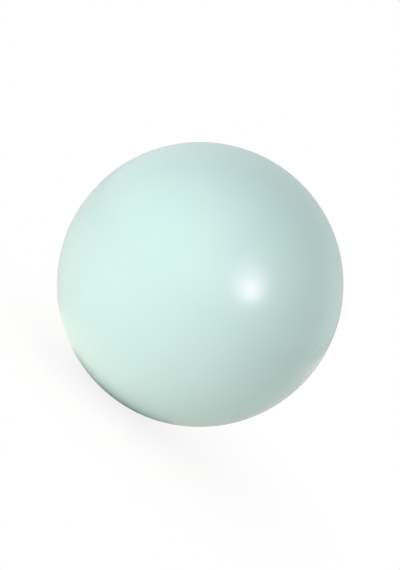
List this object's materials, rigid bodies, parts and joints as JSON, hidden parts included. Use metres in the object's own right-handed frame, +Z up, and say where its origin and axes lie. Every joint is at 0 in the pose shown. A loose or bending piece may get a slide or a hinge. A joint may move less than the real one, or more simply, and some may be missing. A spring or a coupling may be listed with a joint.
{
  "type": "mini pilates ball",
  "caption": "Small soft inflatable exercise ball with a smooth satin skin, a flush tapered valve and a ribbed pull-out stopper plug.",
  "frame": {"origin": "middle of the flat patch that the ball's own weight presses out where it rests", "axes": "+Z up, +Y from the ball's centre out through the valve and its plug"},
  "size_m": [0.25, 0.25, 0.2482],
  "materials": {
    "skin_vinyl": "satin",
    "insert_vinyl": "satin",
    "plug_plastic": "satin"
  },
  "bodies": {
    "ball": {"ball_skin": "skin_vinyl", "valve_insert": "insert_vinyl"},
    "plug": {"valve_plug": "plug_plastic"}
  },
  "joints": [
    {"name": "plug_pull", "type": "slide", "parent": "ball", "child": "plug", "axis": [0, 1, 0], "range_m": [0, 0.03]}
  ]
}
